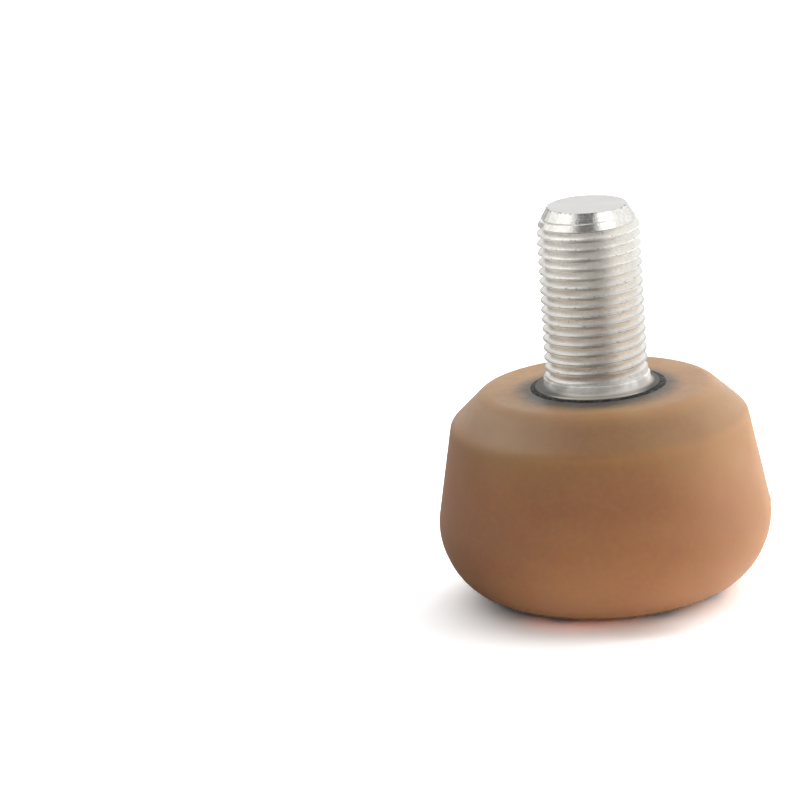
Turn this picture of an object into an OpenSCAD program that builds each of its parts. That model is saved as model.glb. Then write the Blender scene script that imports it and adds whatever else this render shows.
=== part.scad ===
// Roller skate toe stop: a moulded rubber stop on a threaded aluminium stem.
// Millimetres, +Z up the stem, origin at the centre of the rubber's resting face.

/* [Rubber body] */
// Height of the rubber, from its resting face to its flat top
rubber_h = 32.7; // [29:0.1:38]
// Radius of the corner between the resting face and the lower cone, before rounding
foot_r = 21.4; // [19:0.1:23]
// Rounding of the foot corner
foot_round = 11.1; // [2:0.1:13]
// Radius of the rim corner, before rounding
rim_r = 26.1; // [24.5:0.1:30]
// Height of the rim corner
rim_z = 10.3; // [7:0.1:14]
// Rounding of the rim corner
rim_round = 11.2; // [1:0.1:14]
// Radius of the shoulder corner, before rounding
shoulder_r = 22.9; // [20.5:0.1:25]
// Depth of the shoulder corner below the flat top
shoulder_drop = 4.95; // [3:0.05:7]
// Rounding of the shoulder corner
shoulder_round = 1.7; // [0.5:0.1:3]
// Radius of the flat top's edge, before rounding
top_r = 17.7; // [14:0.1:19]
// Rounding of the flat top's edge
top_round = 1.6; // [0.5:0.1:3]
// Height of the moulding flash on the parting line
flash_h = 0.12; // [0.05:0.01:0.3]
// Width of the moulding flash
flash_w = 0.4; // [0.2:0.05:0.8]

/* [Foot holes] */
// Diameter of each blind hole in the resting face
hole_d = 5.1; // [3:0.1:6]
// Depth of each blind hole, down to its rounded end
hole_depth = 15; // [6:0.5:18]
// Spacing of the square grid that the holes stand on
hole_pitch = 7.2; // [6.5:0.05:7.6]
// Diameter of the dimple round the moulding gate
gate_dimple_d = 3.4; // [2.6:0.1:4.5]
// Depth of the gate dimple
gate_dimple_depth = 0.5; // [0.2:0.05:1]
// Diameter of the torn gate nub in the dimple
gate_nub_d = 1.9; // [1:0.1:2.4]
// Gap between the nub's tip and the resting face
gate_nub_gap = 0.1; // [0.05:0.05:0.15]

/* [Stem] */
// Length of the stem above its flange
stem_len = 28.1; // [22:0.1:40]
// Diameter of the flat end of the stem
tip_d = 12.2; // [10:0.1:14]
// Diameter between the steep lead-in and the second chamfer
lead_d = 14.7; // [14.3:0.1:15.5]
// Length of the steep lead-in
lead_h = 2.2; // [1:0.1:3]
// Length of the second chamfer, up to the thread's crest
chamfer_h = 1; // [0.4:0.1:1.5]
// Diameter of the plain collar under the thread
collar_d = 16.4; // [16.3:0.1:18]
// Height of the plain collar, with the fillet at its foot
collar_h = 1.4; // [1:0.1:2.5]
// Fillet between the collar and the flange
collar_fillet = 0.6; // [0.2:0.1:0.8]
// Diameter of the flange and of the hub inside the rubber
flange_d = 19.2; // [18.2:0.1:21]
// Height of the flange above the rubber's flat top
flange_proud = 0.4; // [0.2:0.05:1]
// Length of the hub inside the rubber, from the flat top to the anchor plate
hub_len = 8.2; // [5:0.1:9]

/* [Thread] */
// Diameter over the thread's crests
crest_d = 15.85; // [15.5:0.05:16]
// Advance of the right-hand thread in one turn
pitch = 1.5; // [1:0.05:2]
// Direction from the axis where the groove starts, above the collar
thread_start_a = 15; // [0:1:359]
// Share of a turn over which the groove reaches its full depth
run_out = 0.6; // [0.4:0.05:1]

/* [Anchor plate] */
// Thickness of the anchor plate
plate_h = 3; // [2.4:0.1:4]
// Diameter of the spigot under the hub, through the plate
spigot_d = 12; // [10:0.1:14]
// Distance across the spigot's two flats
spigot_flats = 10; // [9:0.1:11.5]
// Depth of the countersink that the spigot's end is peened into
peen_h = 1; // [0.5:0.1:1.4]
// Number of holes that key the rubber through the plate
key_count = 6; // [4:1:8]
// Diameter of each key hole
key_d = 4.2; // [3:0.1:5]
// Web of plate between the hub and the key holes
key_web = 0.6; // [0.3:0.1:1.5]
// Web of plate outside the key holes
plate_rim = 1.1; // [0.8:0.1:2.5]

/* [Bond ring] */
// Width of the ring of bonding agent round the flange
bond_w = 1; // [0.6:0.05:1.6]
// Depth of the ring below the rubber's flat top
bond_depth = 0.5; // [0.3:0.05:1]
// Height of the ring's crown above the flat top
bond_crown = 0.15; // [0.05:0.01:0.2]

/* [Hidden] */

// How finely curves are drawn
$fn = 96;
// Degrees between points on a rounded corner
arc_step = 3;
// Steps in one turn of the thread
thread_steps = 36;
// Spare length where one solid cuts through another's face
over = 1;
// Shares of a wall's length that its rounded corners may take up
foot_share = 0.66;
corner_share = 0.45;

// Form of a metric thread: flank angle, and depth and root width as shares of the pitch
flank_a = 30;
groove_depth = 0.7 * pitch;
root_w = 0.05 * pitch;
// Bevel on the outer edge of the bond ring's crown
bond_bevel = bond_w / 4;
// Degrees between points on the collar's fillet
fillet_step = 15;

// Heights
shoulder_z = rubber_h - shoulder_drop;
flange_z = rubber_h + flange_proud;
stem_top_z = flange_z + stem_len;
collar_z = flange_z + collar_h;
plate_top_z = rubber_h - hub_len;
plate_z = plate_top_z - plate_h;

// Radii
crest_r = crest_d / 2;
root_r = crest_r - groove_depth;
collar_r = collar_d / 2;
lead_r = lead_d / 2;
tip_r = tip_d / 2;
flange_r = flange_d / 2;
bond_r = flange_r + bond_w;
key_r = key_d / 2;
key_circle_r = flange_r + key_web + key_r;
plate_r = key_circle_r + key_r + plate_rim;
spigot_r = spigot_d / 2;
peen_r = spigot_r + peen_h;
hole_r = hole_d / 2;
nub_r = gate_nub_d / 2;

// The collar's fillet leaves part of the flange flat
fillet_r = min(collar_fillet, corner_share * (flange_r - collar_r));
fillet_centre = [collar_r + fillet_r, flange_z + fillet_r];
fillet_arc = [for (at = [270:-fillet_step:180]) fillet_centre + fillet_r * [cos(at), sin(at)]];

// Heights on the stem where the lead-in and the second chamfer start
lead_z = stem_top_z - lead_h;
chamfer_z = lead_z - chamfer_h;

// Outline of the stem, from the middle of the hub's underside up to the flat end
stem_outline = concat(
  [[0, plate_top_z], [flange_r, plate_top_z], [flange_r, flange_z]],
  fillet_arc,
  [[collar_r, collar_z], [crest_r, collar_z], [crest_r, chamfer_z]],
  [[lead_r, lead_z], [tip_r, stem_top_z], [0, stem_top_z]]
);

// Corners of the rubber's outline, from the foot up to the flat top
foot_p = [foot_r, 0];
rim_p = [rim_r, rim_z];
shoulder_p = [shoulder_r, shoulder_z];
top_p = [top_r, rubber_h];

function unit(v) = v / norm(v);
// Half the change of direction at corner b, coming from a and going on to c
function half_turn(a, b, c) = acos(unit(b - a) * unit(c - b)) / 2;
// Length that a rounding takes from each wall at a corner, kept within a limit
function reach(a, b, c, r, limit) = min(r * tan(half_turn(a, b, c)), limit);
// Points of the arc that touches both walls at a corner, the given length from it
function rounded(a, b, c, len) =
  let (half = half_turn(a, b, c))
  let (r = len / tan(half))
  let (to_a = unit(a - b))
  let (to_c = unit(c - b))
  let (centre = b + unit(to_a + to_c) * r / cos(half))
  let (start = b + to_a * len - centre)
  let (start_a = atan2(start[1], start[0]))
  let (count = ceil(2 * half / arc_step))
  [for (i = [0:count])
    let (at = start_a + 2 * half * i / count)
    centre + r * [cos(at), sin(at)]];

lower_wall = norm(rim_p - foot_p);
side_wall = norm(shoulder_p - rim_p);
slope_wall = norm(top_p - shoulder_p);
axis_low = [0, 0];
axis_high = [0, rubber_h];

foot_len = reach(axis_low, foot_p, rim_p, foot_round, foot_share * lower_wall);
rim_limit = min(corner_share * side_wall, lower_wall - foot_len);
rim_len = reach(foot_p, rim_p, shoulder_p, rim_round, rim_limit);
shoulder_limit = corner_share * min(side_wall, slope_wall);
shoulder_len = reach(rim_p, shoulder_p, top_p, shoulder_round, shoulder_limit);
top_limit = corner_share * min(slope_wall, top_r - bond_r);
top_len = reach(shoulder_p, top_p, axis_high, top_round, top_limit);

rim_arc = rounded(foot_p, rim_p, shoulder_p, rim_len);
outline = concat(
  [axis_low],
  rounded(axis_low, foot_p, rim_p, foot_len),
  rim_arc,
  rounded(rim_p, shoulder_p, top_p, shoulder_len),
  rounded(shoulder_p, top_p, axis_high, top_len),
  [axis_high]
);

// The parting line lies where the rubber is widest
widest_r = max([for (p = outline) p[0]]);
parting_z = [for (p = outline) if (p[0] == widest_r) p[1]][0];

// Columns and rows of the hole grid, counted from the middle
grid = [-2:2];

// Half the groove's width at a radius, for a root at the given radius
function half_width(r, root) = root_w / 2 + tan(flank_a) * (r - root);
// The cutter stays narrower than one pitch, so that its turns don't meet
cut_share = 0.97;
cut_r = min(root_r + (cut_share * pitch - root_w) / (2 * tan(flank_a)), collar_r);
// Height on the lead-in where the cutter has left the metal
exit_z = stem_top_z - lead_h * (root_r - tip_r) / (lead_r - tip_r) + pitch / 2;
// The groove starts clear of the collar by twice the width of its root
thread_z = collar_z + 2 * root_w;
thread_count = ceil(thread_steps * (exit_z - thread_z) / pitch);
run_count = run_out * thread_steps;

// Root radius after i steps: the groove sinks in from outside the crest
function root_at(i) = root_r + (cut_r - root_r) * (1 - min(i / run_count, 1)) * cut_share;
// The cutter's four corners after i steps, as radius and height
function cut_section(i) =
  let (r = root_at(i))
  let (z = thread_z + pitch * i / thread_steps)
  let (inner = root_w / 2)
  let (outer = half_width(cut_r, r))
  [[r, z - inner], [cut_r, z - outer], [cut_r, z + outer], [r, z + inner]];
corner_count = 4;
cut_points = [
  for (i = [0:thread_count])
    let (at = thread_start_a + 360 * i / thread_steps)
    for (p = cut_section(i)) [p[0] * cos(at), p[0] * sin(at), p[1]]
];
cut_sides = [
  for (i = [0:thread_count - 1])
    for (k = [0:corner_count - 1])
      let (a = corner_count * i + k)
      let (b = corner_count * i + (k + 1) % corner_count)
      each [[a, b, b + corner_count], [a, b + corner_count, a + corner_count]]
];
cut_last = corner_count * thread_count;
cut_ends = [
  [0, 3, 2],
  [0, 2, 1],
  [cut_last, cut_last + 1, cut_last + 2],
  [cut_last, cut_last + 2, cut_last + 3]
];

module thread_groove() {
  polyhedron(points = cut_points, faces = concat(cut_sides, cut_ends));
}

module foot_holes() {
  straight = hole_depth - hole_r;
  for (i = grid, j = grid)
    if (abs(i + j) % 2 == 1)
      translate([i * hole_pitch, j * hole_pitch, 0]) {
        translate([0, 0, -over]) cylinder(h = straight + over, r = hole_r);
        translate([0, 0, straight]) sphere(r = hole_r);
      }
}

// The dimple in the resting face, with the torn nub left standing in it
module gate_dimple() {
  difference() {
    translate([0, 0, -over]) cylinder(h = over + gate_dimple_depth, d = gate_dimple_d);
    translate([0, 0, gate_nub_gap]) cylinder(h = gate_dimple_depth, r = nub_r);
  }
}

// The plate as a disc with its key holes, before the spigot's bore
module plate_disc() {
  translate([0, 0, plate_z])
    difference() {
      cylinder(h = plate_h, r = plate_r);
      for (i = [1:key_count])
        rotate(360 * i / key_count)
          translate([key_circle_r, 0, -over])
            cylinder(h = plate_h + 2 * over, r = key_r);
    }
}

// The spigot with its two flats and its peened end, filling the plate's bore and running into the hub
module spigot() {
  spigot_h = plate_h + over;
  intersection() {
    translate([0, 0, plate_z]) cylinder(h = spigot_h, r = spigot_r);
    translate([-spigot_r, -spigot_flats / 2, plate_z]) cube([spigot_d, spigot_flats, spigot_h]);
  }
  translate([0, 0, plate_z]) cylinder(h = peen_h, r1 = peen_r, r2 = spigot_r);
}

// Section of the bond ring: a flat bed under a low crown
module bond_section() {
  polygon([
    [flange_r, rubber_h - bond_depth],
    [bond_r, rubber_h - bond_depth],
    [bond_r, rubber_h],
    [bond_r - bond_bevel, rubber_h + bond_crown],
    [flange_r, rubber_h + bond_crown]
  ]);
}

module rubber_body() {
  color("peru")
    difference() {
      rotate_extrude() {
        polygon(outline);
        translate([widest_r - flash_h, parting_z - flash_w / 2]) square([2 * flash_h, flash_w]);
      }
      foot_holes();
      gate_dimple();
      translate([0, 0, plate_top_z - over]) cylinder(h = hub_len + 2 * over, r = flange_r);
      plate_disc();
      translate([0, 0, rubber_h - bond_depth]) cylinder(h = bond_depth + over, r = bond_r);
    }
}

module stem() {
  color("silver")
    difference() {
      union() {
        rotate_extrude()
          polygon(stem_outline);
        spigot();
      }
      thread_groove();
    }
}

module anchor_plate() {
  color("dimgray")
    difference() {
      plate_disc();
      spigot();
    }
}

module bond_ring() {
  color("black") rotate_extrude() bond_section();
}

rubber_body();
stem();
anchor_plate();
bond_ring();
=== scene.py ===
import math

import bmesh
import bpy
from mathutils import Matrix, Vector, noise


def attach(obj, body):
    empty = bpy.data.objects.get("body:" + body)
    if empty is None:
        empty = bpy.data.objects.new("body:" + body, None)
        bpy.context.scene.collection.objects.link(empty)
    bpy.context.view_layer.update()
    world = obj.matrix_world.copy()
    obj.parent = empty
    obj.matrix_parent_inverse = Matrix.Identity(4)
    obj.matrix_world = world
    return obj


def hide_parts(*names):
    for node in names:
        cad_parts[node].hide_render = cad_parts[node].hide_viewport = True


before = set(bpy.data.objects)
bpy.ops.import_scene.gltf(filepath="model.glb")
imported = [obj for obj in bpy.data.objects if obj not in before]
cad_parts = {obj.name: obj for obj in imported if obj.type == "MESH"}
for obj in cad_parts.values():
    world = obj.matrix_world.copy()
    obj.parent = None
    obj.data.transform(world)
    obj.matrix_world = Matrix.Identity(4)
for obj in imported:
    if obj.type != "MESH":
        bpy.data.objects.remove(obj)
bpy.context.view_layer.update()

mm = 0.001
fullTurn = 2 * math.pi
samePoint = 0.001 * mm  # points this close are merged
print("frame loaded:", ", ".join(sorted(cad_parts)))


def linear(level):
    level = level / 255
    return ((level + 0.055) / 1.055) ** 2.4 if level > 0.04 else level / 12.92


def tone(red, green, blue):
    # a colour as it is read off a screen, made linear
    return linear(red), linear(green), linear(blue), 1.0


def drawOutline(bm, corners, arcStep, longest):
    # corners are (radius, height, rounding) in mm; each arc is a spun vertex
    points = [Vector((r * mm, 0, z * mm)) for r, z, _ in corners]
    tail = None
    for i, here in enumerate(points):
        rounding = corners[i][2] * mm
        first = len(bm.verts)
        start = bm.verts.new(here)
        if rounding:
            toBack = (points[i - 1] - here).normalized()
            toNext = (points[(i + 1) % len(points)] - here).normalized()
            half = (math.pi - toBack.angle(toNext)) / 2
            reach = rounding * math.tan(half)
            start.co = here + toBack * reach
            centre = here + (toBack + toNext).normalized() * (rounding / math.cos(half))
            turnAxis = (start.co - centre).cross(here + toNext * reach - centre)
            steps = max(2, math.ceil(math.degrees(2 * half) / arcStep))
            bmesh.ops.spin(bm, geom=[start], cent=centre, axis=turnAxis, angle=2 * half, steps=steps)
        bm.verts.ensure_lookup_table()
        if tail:
            bm.edges.new((tail, bm.verts[first]))
        tail = bm.verts[len(bm.verts) - 1]
    for edge in list(bm.edges):
        cuts = int(edge.calc_length() / (longest * mm))
        if cuts:
            bmesh.ops.subdivide_edges(bm, edges=[edge], cuts=cuts)


def revolve(bm, steps):
    bmesh.ops.spin(bm, geom=bm.verts[:] + bm.edges[:], cent=(0, 0, 0), axis=(0, 0, 1),
                   angle=fullTurn, steps=steps, use_merge=True)
    bmesh.ops.remove_doubles(bm, verts=bm.verts[:], dist=samePoint)
    bmesh.ops.recalc_face_normals(bm, faces=bm.faces[:])


def copyTo(bm, source, place):
    # a copy of a few verts, edges and faces, moved by a vector
    made = bmesh.ops.duplicate(bm, geom=source)["geom"]
    moved = [part for part in made if isinstance(part, bmesh.types.BMVert)]
    bmesh.ops.translate(bm, verts=moved, vec=place)
    return moved


def pushOut(vert, distance):
    # away from the stem's axis, in mm
    vert.co.xy *= 1 + distance * mm / vert.co.xy.length


def toObject(bm, name):
    mesh = bpy.data.meshes.new(name)
    bm.to_mesh(mesh)
    bm.free()
    piece = bpy.data.objects.new(name, mesh)
    bpy.context.scene.collection.objects.link(piece)
    return piece


def carve(piece, tool, operation):
    # joins or cuts with another object and keeps only the result
    step = piece.modifiers.new(operation.lower(), "BOOLEAN")
    step.operation = operation
    step.solver = "MANIFOLD"
    step.object = tool
    bpy.context.view_layer.update()
    result = bpy.data.meshes.new_from_object(piece.evaluated_get(bpy.context.evaluated_depsgraph_get()))
    piece.modifiers.clear()
    piece.data = result
    bpy.data.objects.remove(tool)


def finishPiece(piece, material, node, creaseAngle):
    piece.data.materials.clear()
    piece.data.materials.append(material)
    piece.data.shade_smooth()
    piece.data.set_sharp_from_angle(angle=math.radians(creaseAngle))
    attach(piece, "root")
    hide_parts(node)
    print(piece.name, "made:", len(piece.data.polygons), "faces")


class Wire:
    # an output socket; an expression on it adds Math nodes to the same tree
    def __init__(self, tree, socket=None):
        self.tree = tree
        self.socket = socket

    def node(self, kind, settings=None, sockets=None, output=0):
        made = self.tree.nodes.new(kind)
        for name, value in (settings or {}).items():
            setattr(made, name, value)
        for name, value in (sockets or {}).items():
            if isinstance(value, Wire):
                self.tree.links.new(value.socket, made.inputs[name])
            else:
                made.inputs[name].default_value = value
        return Wire(self.tree, made.outputs[output])

    def into(self, shader, name):
        self.tree.links.new(self.socket, shader.inputs[name])

    def maths(self, operation, *values):
        return self.node("ShaderNodeMath", {"operation": operation}, dict(enumerate(values)))

    def __add__(self, other):
        return self.maths("ADD", self, other)

    def __radd__(self, other):
        return self.maths("ADD", other, self)

    def __sub__(self, other):
        return self.maths("SUBTRACT", self, other)

    def __rsub__(self, other):
        return self.maths("SUBTRACT", other, self)

    def __mul__(self, other):
        return self.maths("MULTIPLY", self, other)

    def __rmul__(self, other):
        return self.maths("MULTIPLY", other, self)

    def __truediv__(self, other):
        return self.maths("DIVIDE", self, other)

    def __rtruediv__(self, other):
        return self.maths("DIVIDE", other, self)

    def __pow__(self, other):
        return self.maths("POWER", self, other)

    def __rpow__(self, other):
        return self.maths("POWER", other, self)

    def __mod__(self, other):
        return self.maths("FLOORED_MODULO", self, other)

    def __rmod__(self, other):
        return self.maths("FLOORED_MODULO", other, self)

    def __abs__(self):
        return self.maths("ABSOLUTE", self)

    def step(self, low, high):
        # 0 below low, 1 above high, smooth between; low may be the larger
        sockets = {"Value": self, "From Min": low, "From Max": high}
        return self.node("ShaderNodeMapRange", {"interpolation_type": "SMOOTHSTEP"}, sockets)

    def colours(self, a, b):
        # from colour a to colour b as this value goes from 0 to 1
        return self.node("ShaderNodeMix", {"data_type": "RGBA"}, {0: self, 6: a, 7: b}, 2)

    def speckle(self, size, detail):
        # noise of about this size in mm, read at this place
        sockets = {"Vector": self, "Scale": 0.5 / (size * mm), "Detail": detail}
        return self.node("ShaderNodeTexNoise", {}, sockets)

    def vectors(self, operation, sockets, output=0):
        return self.node("ShaderNodeVectorMath", {"operation": operation}, sockets, output)

    def towards(self, aim):
        # cosine of the angle between this direction and another
        return self.vectors("DOT_PRODUCT", {0: self, 1: Vector(aim).normalized()}, "Value")

    def bump(self, depth):
        # this value as a relief of that depth in mm
        return self.node("ShaderNodeBump", {}, {"Height": self, "Distance": depth * mm})

    def isRay(self, kind):
        return self.node("ShaderNodeLightPath", output="Is " + kind + " Ray")


def newFinish(name, **values):
    finish = bpy.data.materials.new(name)
    finish.use_nodes = True
    shader = finish.node_tree.nodes["Principled BSDF"]
    for socket, value in values.items():
        shader.inputs[socket.replace("_", " ")].default_value = value
    place = Wire(finish.node_tree).node("ShaderNodeTexCoord", output="Object")
    return finish, shader, place


def measures(place):
    # x, y, height and distance from the axis, in mm
    x, y, z = (place.node("ShaderNodeSeparateXYZ", {}, {0: place}, i) * 1000 for i in range(3))
    return x, y, z, (x * x + y * y) ** 0.5


rubber = {
    "corners": [  # radius, height, rounding in mm, from the gate nub round to the plate's pocket
        (0, 0.1, 0), (0.75, 0.14, 0.3), (0.95, 0.5, 0.08), (1.7, 0.5, 0.1), (1.7, 0, 0.1),
        (21.4, 0, 11.1), (26.1, 10.3, 11.2), (22.9, 27.75, 2.2), (17.7, 32.7, 2.6),
        (10.3, 32.7, 0.1), (10.3, 32.2, 0), (9.6, 32.2, 0), (9.6, 24.5, 0),
        (15.5, 24.5, 0), (15.5, 21.5, 0), (0, 21.5, 0),
    ],
    "steps": 240,
    "rimFrom": 20, "flashHeight": 11.8, "flashWidth": 0.5, "flashDepth": 0.03,
    "flashMean": 0.35, "flashSwing": 0.65, "flashLeast": 0.05, "flashWaves": 3, "flashSeed": 4.0,
    "tagHeight": 12.6, "tagRadius": 25.9, "tagAngle": 2, "tagWidth": 0.9, "tagDepth": 0.17,
    "holeRadius": 2.55, "holeDepth": 15, "holePitch": 7.2, "holeLip": 0.2, "holeSteps": 48,
    "footFlat": 14.27, "footRound": 11.1,  # the resting face's radius and the rounding outside it
    "postRadius": 2.1, "postCircle": 12.3, "postCount": 6, "postSpare": 0.5, "postSteps": 32,
    "pocketLow": 21.5, "pocketHigh": 24.5,
    "nubRadius": 0.9, "nubHeight": 0.4, "nubLift": 0.05, "nubLeast": 0.03,
    "nubTear": 0.12, "tearsPerMetre": 1600,
    "tones": {
        # some of these tones are painted light and shade: the paler right side, left slope and in part the
        # top, the darker left wall and front, and the hole rims and insides
        "lower": tone(149, 97, 51), "shoulder": tone(146, 107, 56), "top": tone(158, 121, 72),
        "paintedLightRight": tone(176, 147, 117), "paintedShadeLeftWall": tone(106, 56, 12), "paintedSheenLeftSlope": tone(196, 166, 136),
        "paintedShadeFrontSlope": tone(108, 76, 40), "paintedShadeFrontWall": tone(116, 70, 28),
        "cloud": tone(132, 80, 42), "grain": tone(178, 126, 84), "soot": tone(57, 53, 45),
        "paintedHighlightHoleRim": tone(206, 156, 118), "paintedShadeHoleInside": tone(104, 16, 8), "nub": tone(226, 200, 156),
    },
}


def footHeight(radius):
    # how far the rounded foot has risen from the floor at this radius, in metres
    out = radius - rubber["footFlat"] * mm
    roundness = rubber["footRound"] * mm
    return roundness - math.sqrt(roundness ** 2 - out ** 2) if out > 0 else 0.0


def footHoles():
    bm = bmesh.new()
    r, lip, depth = rubber["holeRadius"], rubber["holeLip"], rubber["holeDepth"]
    drawOutline(bm, [(0, -1, 0), (r + 2.2 * lip, -1, 0), (r + 0.9 * lip, -0.1 * lip, 0),
                     (r + 0.4 * lip, 0.25 * lip, 0), (r + 0.1 * lip, 0.6 * lip, 0), (r, lip, 0),
                     (r, depth, r), (0, depth, 0)], arcStep=7.5, longest=3)
    revolve(bm, rubber["holeSteps"])
    first = bm.verts[:] + bm.edges[:] + bm.faces[:]
    pitch = rubber["holePitch"] * mm
    grid = range(-2, 3)
    for i, j in [(i, j) for i in grid for j in grid if (i + j) % 2]:
        for vert in copyTo(bm, first, (i * pitch, j * pitch, 0)):
            if vert.co.z < 1.5 * lip * mm:  # the mouth follows the rounded foot
                vert.co.z += footHeight(vert.co.xy.length)
    bmesh.ops.delete(bm, geom=first, context="VERTS")
    return toObject(bm, "footHoles")


def keyPosts():
    # the rubber that fills the plate's holes
    bm = bmesh.new()
    low, high = rubber["pocketLow"] * mm, rubber["pocketHigh"] * mm
    radius, length = rubber["postRadius"] * mm, high - low + 2 * rubber["postSpare"] * mm
    for i in range(rubber["postCount"]):
        turn = Matrix.Rotation(fullTurn * i / rubber["postCount"], 4, "Z")
        place = turn @ Matrix.Translation((rubber["postCircle"] * mm, 0, (low + high) / 2))
        bmesh.ops.create_cone(bm, cap_ends=True, segments=rubber["postSteps"], radius1=radius,
                              radius2=radius, depth=length, matrix=place)
    return toObject(bm, "keyPosts")


def makeRubber():
    bm = bmesh.new()
    drawOutline(bm, rubber["corners"], arcStep=3.0, longest=1.2)
    flashHeight, flashHalf = rubber["flashHeight"] * mm, rubber["flashWidth"] / 2 * mm
    for share in (-1, -0.5, 0, 0.5, 1):  # edges for the parting line to stand on
        bmesh.ops.bisect_plane(bm, geom=bm.verts[:] + bm.edges[:], plane_no=(0, 0, 1),
                               plane_co=(0, 0, flashHeight + share * flashHalf))
    revolve(bm, rubber["steps"])
    tagTurn = Matrix.Rotation(math.radians(rubber["tagAngle"]), 4, "Z")
    tagPlace = tagTurn @ Vector((rubber["tagRadius"] * mm, 0, rubber["tagHeight"] * mm))
    for vert in bm.verts:
        out = vert.co.xy.length
        if out > rubber["rimFrom"] * mm:
            near = 1 - abs(vert.co.z - flashHeight) / flashHalf
            if near > 0.01:  # the parting line comes and goes round the rim
                along = vert.co.xy.normalized() * rubber["flashWaves"]
                swing = rubber["flashSwing"] * noise.noise((along.x, along.y, rubber["flashSeed"]))
                ridge = max(rubber["flashMean"] + swing, rubber["flashLeast"])
                pushOut(vert, ridge * near * rubber["flashDepth"])
            tag = 1 - (vert.co - tagPlace).length / (rubber["tagWidth"] * mm)
            if tag > 0:  # a tag of flash left on the rim
                pushOut(vert, tag * (2 - tag) * rubber["tagDepth"])
        elif out < rubber["nubRadius"] * mm and vert.co.z < rubber["nubHeight"] * mm:
            tear = noise.noise(vert.co * rubber["tearsPerMetre"]) * rubber["nubTear"]  # the nub's torn tip
            vert.co.z = max(vert.co.z + (tear + rubber["nubLift"]) * mm, rubber["nubLeast"] * mm)
    piece = toObject(bm, "rubberBody")
    carve(piece, keyPosts(), "UNION")
    carve(piece, footHoles(), "DIFFERENCE")
    return piece


def rubberFinish():
    finish, shader, place = newFinish(
        "tan rubber", Subsurface_Weight=0.85, Subsurface_Scale=0.0045, Subsurface_Radius=(1.0, 0.45, 0.2),
        IOR=1.5, Specular_IOR_Level=0.75, Sheen_Weight=0.05, Sheen_Roughness=0.5)
    x, y, z, r = measures(place)
    tones = rubber["tones"]
    # the lower body is a warm brown, the shoulder more olive, the top olive and paler, partly a painted
    # sheen
    colour = z.step(19, 29).colours(tones["lower"], tones["shoulder"])
    colour = z.step(30.5, 32.6).colours(colour, tones["top"])
    # painted light and shade: paler to the right where the light is strong, a painted sheen on the left of
    # the slope, painted shade on the left wall and in front
    wall, slope = z.step(29, 26), z.step(26.4, 29) * z.step(32.7, 31)
    paintedShadeFrontWall = z.step(15, 20) * z.step(28, 25) * y.step(-17, -23)
    colour = (x.step(6, 26) * 0.35).colours(colour, tones["paintedLightRight"])
    colour = (wall * x.step(-13, -23) * 0.3).colours(colour, tones["paintedShadeLeftWall"])
    colour = (slope * x.step(-4, -16) * 0.28).colours(colour, tones["paintedSheenLeftSlope"])
    colour = (slope * y.step(-13, -19) * x.step(-9, -2) * 0.2).colours(colour, tones["paintedShadeFrontSlope"])
    colour = (paintedShadeFrontWall * 0.3).colours(colour, tones["paintedShadeFrontWall"])
    cloud = place.speckle(7, 3).step(0.35, 0.68)
    colour = (cloud * 0.35).colours(colour, tones["cloud"])
    grain = place.speckle(0.5, 3).step(0.3, 0.75)
    colour = (grain * 0.16).colours(colour, tones["grain"])
    # soot from the bonding agent round the ring
    nearRing = (r + 0.12 * y).step(13.9, 10.0) * z.step(32.0, 32.6)
    soot = nearRing * (0.55 + 0.9 * place.speckle(2.2, 4))
    colour = soot.maths("MINIMUM", soot, 0.95).colours(colour, tones["soot"])
    # the foot: a painted highlight round each hole, painted shade reddened by light through the rubber
    # inside it, cream on the gate nub
    pitch, radius, depth = rubber["holePitch"], rubber["holeRadius"], rubber["holeDepth"]
    alongRow = (x + y) / pitch % 2.0 - 1
    acrossRow = (x - y) / pitch % 2.0 - 1
    fromHole = pitch * ((alongRow * alongRow + acrossRow * acrossRow) / 2) ** 0.5
    outside, inside = 2.52 * pitch, 2.48 * pitch  # the edge of the five by five grid
    inGrid = abs(x).step(outside, inside) * abs(y).step(outside, inside)
    paintedHighlightHoleRim = inGrid * fromHole.step(radius + 1.05, radius + 0.15) * z.step(3.0, 0.5)
    colour = (paintedHighlightHoleRim * 0.35).colours(colour, tones["paintedHighlightHoleRim"])
    inHole = inGrid * fromHole.step(radius + 0.07, radius - 0.03) * z.step(depth + 1, depth)
    colour = (inHole * z.step(0.0, 1.6)).colours(colour, tones["paintedShadeHoleInside"])
    nub = r.step(1.15, 0.8) * z.step(0.48, 0.3)
    nub.colours(colour, tones["nub"]).into(shader, "Base Color")
    rough = 0.36 + 0.12 * place.speckle(2.5, 3) + 0.1 * grain + 0.25 * wall
    rough.into(shader, "Roughness")
    relief = place.speckle(0.35, 3) * 0.6 + place.speckle(2.2, 2)
    relief.bump(0.02).into(shader, "Normal")
    return finish


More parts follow.
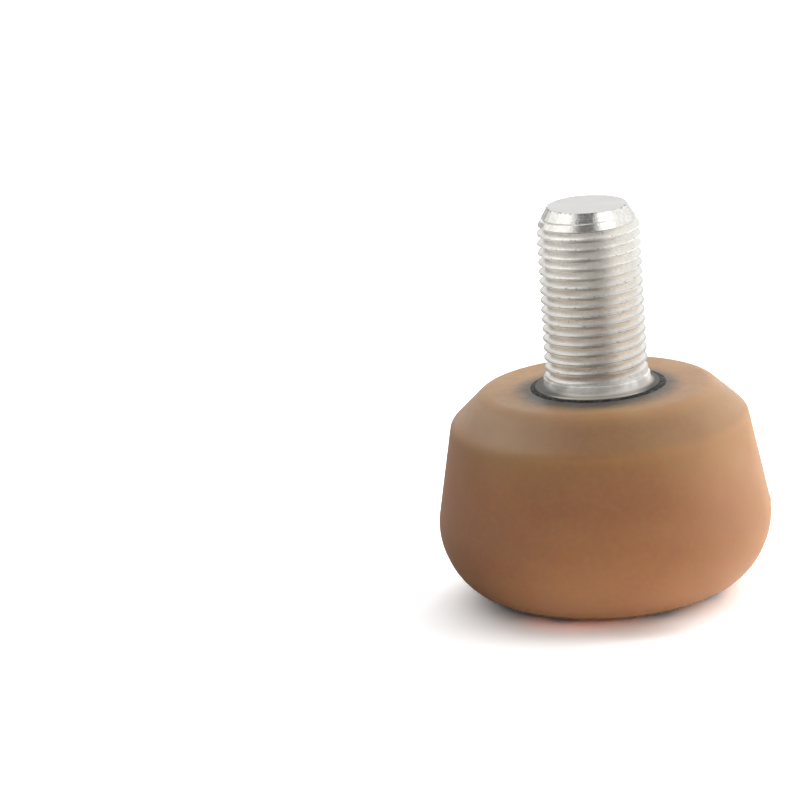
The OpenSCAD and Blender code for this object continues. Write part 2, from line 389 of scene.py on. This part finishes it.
stem = {
    "corners": [  # radius, height, rounding in mm, from the peened spigot up to the flat end
        (0, 21.5, 0), (7, 21.5, 0), (6, 22.5, 0), (6, 24.5, 0), (9.6, 24.5, 0),
        (9.6, 33.1, 0.15), (8.2, 33.1, 0.6), (8.2, 34.5, 0.15), (7.925, 34.5, 0),
        (7.925, 58.0, 0), (7.35, 59.0, 0), (6.1, 61.2, 0.1), (0, 61.2, 0),
    ],
    "steps": 120,
    "crest": 7.925, "root": 6.875, "pitch": 1.5, "rootWidth": 0.075, "rootDip": 0.03, "flank": 30,
    "crestRound": 0.07, "cutRadius": 8.2,
    "start": 34.65, "startAngle": 15, "turns": 18, "runOut": 0.6, "runLeast": 0.03,
    "flats": 10, "flatLow": 22.5, "flatHigh": 24.5, "flatCut": 20,
    "nick": 0.15, "nickBand": 0.1, "nickLevel": 0.25, "nicksPerMetre": 900, "seed": 3.7,
    "tip": 61.2, "burr": 0.06, "burrBand": 0.15, "burrRadius": 5.8, "burrsPerMetre": 1900,
    "tones": {
        "metal": tone(226, 223, 218), "sparkle": tone(238, 236, 231), "cloud": tone(212, 208, 200),
        # the groove tone is a painted reflection of the rubber, the crest tone a painted shade
        "groove": tone(214, 190, 162), "crest": tone(194, 191, 186), "speck": tone(112, 110, 106),
        "collar": tone(244, 243, 240), "collarCloud": tone(206, 204, 199),
        "end": tone(206, 205, 203), "burr": tone(128, 127, 122),
        # the shelf tones are painted shade on the left and painted light to the right and in front
        "paintedShadeShelfLeft": tone(86, 84, 77), "paintedLightShelfRight": tone(202, 197, 187), "paintedLightShelfFront": tone(204, 199, 190),
        "soot": tone(58, 58, 56),
    },
}


def threadGroove():
    bm = bmesh.new()
    slope = math.tan(math.radians(stem["flank"]))
    crest, root, soft = stem["crest"], stem["root"], stem["crestRound"]
    inner = stem["rootWidth"] / 2
    atCrest = inner + slope * (crest - root)
    # half of the section, from the middle of the root to outside the crest
    half = [(root - stem["rootDip"], inner * 0.45), (root, inner), (crest - soft, atCrest - slope * soft),
            (crest - 0.3 * soft, atCrest + 0.35 * soft), (crest + 0.1 * soft, atCrest + 1.1 * soft),
            (stem["cutRadius"], atCrest + 1.3 * soft)]
    section = [(r, -z) for r, z in reversed(half)] + half
    loop = [bm.verts.new((r * mm, 0, z * mm)) for r, z in section]
    for a, b in zip(loop, loop[1:] + loop[:1]):
        bm.edges.new((a, b))
    perTurn, pitch = stem["steps"], stem["pitch"] * mm
    bmesh.ops.spin(bm, geom=bm.verts[:] + bm.edges[:], cent=(0, 0, 0), axis=(0, 0, 1),
                   dvec=(0, 0, pitch / perTurn), angle=fullTurn, steps=perTurn)
    oneTurn = bm.verts[:] + bm.edges[:] + bm.faces[:]
    for i in range(1, stem["turns"]):
        copyTo(bm, oneTurn, (0, 0, i * pitch))
    bm.verts.ensure_lookup_table()
    runSteps, cutRadius = stem["runOut"] * perTurn, stem["cutRadius"] * mm
    for i in range(int(runSteps)):  # the groove sinks in from outside the crest
        middle = i * pitch / perTurn
        share = stem["runLeast"] + (1 - stem["runLeast"]) * i / runSteps
        for vert in bm.verts[i * len(section):(i + 1) * len(section)]:
            out = vert.co.xy.length
            vert.co.xy *= (cutRadius - (cutRadius - out) * share) / out
            vert.co.z = middle + (vert.co.z - middle) * share
    bmesh.ops.remove_doubles(bm, verts=bm.verts[:], dist=samePoint)
    bmesh.ops.holes_fill(bm, edges=[e for e in bm.edges if e.is_boundary])
    turn = Matrix.Rotation(math.radians(stem["startAngle"]), 4, "Z")
    lift = Matrix.Translation((0, 0, stem["start"] * mm))
    bmesh.ops.transform(bm, matrix=lift @ turn, verts=bm.verts[:])
    low, high, wide = stem["flatLow"] * mm, stem["flatHigh"] * mm, stem["flatCut"] * mm
    for side in (-1, 1):  # the two flats of the spigot
        middle = side * (stem["flats"] / 2 * mm + wide / 2)
        place = Matrix.Translation((0, middle, (low + high) / 2))
        size = Matrix.Diagonal((wide, wide, high - low, 1))
        bmesh.ops.create_cube(bm, size=1, matrix=place @ size)
    bmesh.ops.recalc_face_normals(bm, faces=bm.faces[:])
    return toObject(bm, "threadGroove")


def makeStem():
    bm = bmesh.new()
    drawOutline(bm, stem["corners"], arcStep=20, longest=60)
    revolve(bm, stem["steps"])
    piece = toObject(bm, "threadedStem")
    carve(piece, threadGroove(), "DIFFERENCE")
    bm = bmesh.new()
    bm.from_mesh(piece.data)
    seed = Vector((0, 0, stem["seed"]))
    for vert in bm.verts:
        out, height = vert.co.xy.length / mm, vert.co.z / mm
        if height > stem["start"] and out > stem["crest"] - stem["nickBand"]:  # nicks along the crests
            dent = max(noise.noise(vert.co * stem["nicksPerMetre"] + seed) - stem["nickLevel"], 0)
            pushOut(vert, -dent * stem["nick"])
        elif height > stem["tip"] - stem["burrBand"] and out > stem["burrRadius"]:  # the ragged end
            ragged = abs(noise.noise(vert.co * stem["burrsPerMetre"])) * stem["burr"]
            pushOut(vert, -ragged)
            vert.co.z -= ragged * mm
    bm.to_mesh(piece.data)
    bm.free()
    return piece


def stemFinish():
    finish, shader, place = newFinish("turned aluminium")
    x, y, z, r = measures(place)
    tones = stem["tones"]
    sparkle, cloud = place.speckle(0.22, 2), place.speckle(1.8, 3)
    metal = sparkle.step(0.35, 0.7).colours(tones["metal"], tones["sparkle"])
    metal = (cloud.step(0.45, 0.75) * 0.35).colours(metal, tones["cloud"])
    # a painted reflection of the rubber browns the grooves and painted shade dulls the crests, more so
    # lower down; specks on the crests
    thread = z.step(34.6, 35.2) * z.step(59.2, 58.6)
    lower = thread * z.step(58, 42)
    metal = (lower * r.step(7.45, 6.95) * 0.33).colours(metal, tones["groove"])
    metal = (lower * r.step(7.6, 7.85) * 0.9).colours(metal, tones["crest"])
    speck = thread * r.step(7.75, 7.87) * place.speckle(0.3, 2).step(0.58, 0.68)
    metal = (speck * 0.55).colours(metal, tones["speck"])
    collar = z.step(34.8, 34.5)
    metal = collar.colours(metal, cloud.step(0.4, 0.6).colours(tones["collar"], tones["collarCloud"]))
    metal = (z.step(61.05, 61.15) * 0.9).colours(metal, tones["end"])
    burr = z.step(60.85, 61.0) * r.step(5.75, 6.0) * place.speckle(0.42, 3).step(0.53, 0.66)
    metal = (burr * 0.7).colours(metal, tones["burr"])
    # the shelf is dull, with painted shade to the left and painted light to the right and in front, and
    # sooted at its rim
    shelf = z.step(33.9, 33.2)
    paintedShelfShading = x.step(-9, 7).colours(tones["paintedShadeShelfLeft"], tones["paintedLightShelfRight"])
    paintedShelfShading = y.step(-5, -9).colours(paintedShelfShading, tones["paintedLightShelfFront"])
    metal = (shelf * 0.9).colours(metal, paintedShelfShading)
    soot = shelf * r.step(8.2, 9.0) * x.step(5, 8.5)
    (soot * 0.8).colours(metal, tones["soot"]).into(shader, "Base Color")
    (1 - 0.6 * collar * (1 - shelf)).into(shader, "Metallic")
    leadIn = z.step(58.4, 58.9)  # cut smoother than the thread
    rough = (0.2 + 0.12 * sparkle + 0.1 * cloud) * (1 - 0.5 * leadIn) + 0.25 * collar
    rough.into(shader, "Roughness")
    toolMarks = {"W": (z + r) * 9, "Detail": 3.0}
    turned = place.node("ShaderNodeTexNoise", {"noise_dimensions": "1D"}, toolMarks)
    (sparkle * 0.8 + turned * 0.5).bump(0.02).into(shader, "Normal")
    return finish


ring = {
    # radius, height, rounding in mm: a bed in the rubber under a low crown with a smeared lip
    "corners": [
        (9.6, 32.2, 0), (10.29, 32.2, 0), (10.29, 32.71, 0), (10.5, 32.715, 0), (10.3, 32.8, 0.08),
        (10.05, 32.86, 0.2), (9.6, 32.88, 0), (9.6, 32.2, 0),
    ],
    "steps": 240,
    "rubberTop": 32.7, "inside": 9.7, "lipFrom": 10.1, "lipWidth": 0.4, "lipLeast": 0.008,
    "smear": 0.1, "broadWaves": 3, "fineWaves": 14, "fineShare": 0.5,  # the lip's unevenness
    "aside": 0.12, "asideFrom": 0.3,  # and its drift to the back right
    "lump": 0.05, "lumpsPerMetre": 2200, "lipCalm": 0.8,  # lumps, flatter on the lip
    "tones": {"black": tone(16, 16, 15), "grit": tone(84, 83, 80)},
}


def makeRing():
    bm = bmesh.new()
    drawOutline(bm, ring["corners"], arcStep=20, longest=0.3)
    revolve(bm, ring["steps"])
    for vert in bm.verts:
        out = vert.co.xy.length / mm
        if vert.co.z > ring["rubberTop"] * mm and out > ring["inside"]:
            along = vert.co.xy.normalized().to_3d()
            fine = ring["fineShare"] * noise.noise(along * ring["fineWaves"])
            wander = noise.noise(along * ring["broadWaves"]) + fine
            spread = wander * ring["smear"] + (along.x + along.y - ring["asideFrom"]) * ring["aside"]
            share = min(max((out - ring["lipFrom"]) / ring["lipWidth"], 0), 1)
            pushOut(vert, share * spread)
            lump = noise.noise(vert.co * ring["lumpsPerMetre"]) * ring["lump"] * mm
            least = (ring["rubberTop"] + ring["lipLeast"]) * mm
            vert.co.z = max(vert.co.z + lump * (1 - ring["lipCalm"] * share), least)
    return toObject(bm, "bondRing")


def ringFinish():
    finish, shader, place = newFinish("dried bonding agent", IOR=1.45)
    tones = ring["tones"]
    grit = place.speckle(0.28, 3)
    grit.step(0.42, 0.75).colours(tones["black"], tones["grit"]).into(shader, "Base Color")
    (0.55 + 0.3 * grit).into(shader, "Roughness")
    (grit + place.speckle(0.8, 2)).bump(0.06).into(shader, "Normal")
    return finish


plate = {"steel": tone(122, 124, 126), "shade": tone(84, 85, 88)}


def plateFinish():
    finish, shader, place = newFinish("grit blasted steel", Metallic=1.0)
    blast = place.speckle(0.3, 3)
    blast.step(0.3, 0.7).colours(plate["shade"], plate["steel"]).into(shader, "Base Color")
    (0.5 + 0.2 * blast).into(shader, "Roughness")
    blast.bump(0.03).into(shader, "Normal")
    return finish


finishPiece(makeRubber(), rubberFinish(), "rubber_body", creaseAngle=38)
finishPiece(makeStem(), stemFinish(), "stem", creaseAngle=30)
finishPiece(makeRing(), ringFinish(), "bond_ring", creaseAngle=50)
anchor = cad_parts["anchor_plate"]
anchor.data.materials.clear()
anchor.data.materials.append(plateFinish())
print("anchor plate finished")


studio = {
    "floorSize": 6.0, "floorDrop": 0.02, "floorSeen": 1.34,  # metres, mm, level to the camera
    "floorTints": [  # colour, middle, squeeze along Y, from and full at this distance in mm
        ((0.82, 0.78, 0.76, 1), (5, -23.5), 1.8, 11, 1),  # where the foot keeps the light off
        ((2.2, 1.62, 1.52, 1), (-4, -15), 1.6, 12, 3),  # and where light comes through the rubber
    ],
    # lights: direction to the middle, cosine at the edge and where it is full, level
    "floorSoftBase": 0.5,  # the floor, to a dull surface
    "floorSoft": [((0.6, -0.8, 0), -0.3, 0.8, 1.05), ((-1, 0.1, 0), 0.3, 0.9, -0.16)],
    "floorShineBase": 0.48,  # and to a shiny one
    "floorShine": [((0.966, 0.26, 0), 0.2, 0.95, 0.66), ((-0.61, -0.79, 0), 0.6, 0.97, 0.24),
                   ((-0.946, 0.326, 0), 0.78, 0.95, 0.33)],
    "floorZones": [  # more or less of it from one distance to another, in mm
        (36, 26, ((0.4, -0.92, 0), 0.2, 0.85, 1.1)), (75, 55, ((1, 0, 0), 0.3, 0.9, -0.4)),
        (75, 55, ((-1, 0.2, 0), 0.3, 0.9, -0.5)), (130, 190, ((-0.7, 0.72, 0), 0.6, 0.93, -0.25)),
    ],
    "softBase": 0.42,  # the surroundings, to a dull surface
    "soft": [((0.9, 0.38, 0.12), 0.4, 0.95, 2.9), ((0.05, 0.8, 0.5), 0.3, 0.95, 1.5),
             ((-0.55, -0.25, 0.8), 0.8, 0.97, 0.6), ((-0.97, -0.2, 0.1), 0.5, 0.97, -0.16)],
    "shineBase": 0.45,  # and to a shiny one
    "shine": [((0.9, 0.2, 0.4), 0.35, 0.85, 0.65), ((-0.72, 0.1, 0.62), 0.68, 0.85, 0.7),
              ((-0.5, 0.0, 0.86), 0.85, 0.95, 0.3), ((-0.05, 0.96, 0.27), 0.8, 0.97, 0.58),
              ((0.6, -0.49, 0.63), 0.93, 0.97, 0.75), ((0, 0.26, 0.966), 0.88, 0.97, 0.09)],
    # dark places behind the camera and past the back left, and the least level left in them
    "dark": [((-0.04, -0.798, 0.62), 0.9, 0.955, 0.74), ((-0.1, -0.98, 0.1), 0.75, 0.95, 0.58),
             ((-0.68, 0.62, -0.4), 0.82, 0.95, 0.58)],
    "darkest": 0.2,
}
view = {
    "distance": 0.78394, "elevation": 15.359, "aimHeight": 0.030,  # metres and degrees
    "yaw": 2.225, "pitch": 0.148, "roll": -3.391,
    "focalPixels": 5095.97, "framePixels": 800, "sensor": 36.0,
}
white = (1, 1, 1, 1)


def glow(ray, base, lights):
    # how bright the far lights are in this direction
    total = base
    for aim, edge, full, level in lights:
        total = ray.towards(aim).step(edge, full) * level + total
    return total


def makeFloor():
    bm = bmesh.new()
    justUnder = Matrix.Translation((0, 0, -studio["floorDrop"] * mm))
    bmesh.ops.create_grid(bm, x_segments=1, y_segments=1, size=studio["floorSize"] / 2, matrix=justUnder)
    floor = toObject(bm, "floor")
    finish, shader, place = newFinish("white floor")
    x, y, _, r = measures(place)
    outward = place.vectors("NORMALIZE", {0: place})
    soft = glow(outward, studio["floorSoftBase"], studio["floorSoft"])
    shine = glow(outward, studio["floorShineBase"], studio["floorShine"])
    for fromRadius, fullRadius, light in studio["floorZones"]:
        shine = shine + glow(outward, 0.0, [light]) * r.step(fromRadius, fullRadius)
    glossy, seen = place.isRay("Glossy"), place.isRay("Camera")
    level = glossy * shine + (1 - glossy) * soft
    tinted = white[:3]
    for tint, (midX, midY), squeeze, fromRadius, fullRadius in studio["floorTints"]:
        away = ((x - midX) ** 2 + (squeeze * (y - midY)) ** 2) ** 0.5
        share = away.step(fromRadius, fullRadius).colours(white, tint)
        tinted = place.vectors("MULTIPLY", {0: tinted, 1: share})
    strength = seen * studio["floorSeen"] + (1 - seen) * level
    colour = place.vectors("SCALE", {0: seen.colours(white, tinted), "Scale": strength})
    paint = place.node("ShaderNodeBsdfDiffuse", {}, {"Color": colour})
    paint.into(finish.node_tree.nodes["Material Output"], "Surface")
    finish.node_tree.nodes.remove(shader)
    floor.data.materials.append(finish)


def makeWorld():
    world = bpy.data.worlds.new("studio")
    world.use_nodes = True
    world.cycles.sampling_method = "NONE"  # the light depends on the kind of ray
    bpy.context.scene.world = world
    sky = world.node_tree.nodes["Background"]
    sky.inputs["Color"].default_value = white
    ray = Wire(world.node_tree).node("ShaderNodeTexCoord", output="Generated")
    soft = glow(ray, studio["softBase"], studio["soft"])
    shine = glow(ray, studio["shineBase"], studio["shine"])
    glossy, seen = ray.isRay("Glossy"), ray.isRay("Camera")
    level = glossy * shine + (1 - glossy) * soft
    for aim, edge, full, share in studio["dark"]:
        level = level * (1 - share * ray.towards(aim).step(edge, full))
    level = level.maths("MAXIMUM", level, studio["darkest"])
    (seen + (1 - seen) * level).into(sky, "Strength")


def makeCamera():
    lens = bpy.data.cameras.new("photo view")
    lens.sensor_width = view["sensor"]
    lens.lens = view["focalPixels"] / view["framePixels"] * view["sensor"]
    lens.clip_start = 0.01
    camera = bpy.data.objects.new("photo view", lens)
    tilt = math.radians(view["elevation"])
    away = Vector((0, -math.cos(tilt), math.sin(tilt))) * view["distance"]
    place = Matrix.Translation(away + Vector((0, 0, view["aimHeight"])))
    level = Matrix.Rotation(math.pi / 2 - tilt, 4, "X")
    for name, axis in (("yaw", "Y"), ("pitch", "X"), ("roll", "Z")):
        level = level @ Matrix.Rotation(math.radians(view[name]), 4, axis)
    camera.matrix_world = place @ level
    bpy.context.scene.collection.objects.link(camera)
    bpy.context.scene.camera = camera


makeFloor()
makeWorld()
makeCamera()
bpy.context.scene.view_settings.view_transform = "Standard"
print("studio ready")
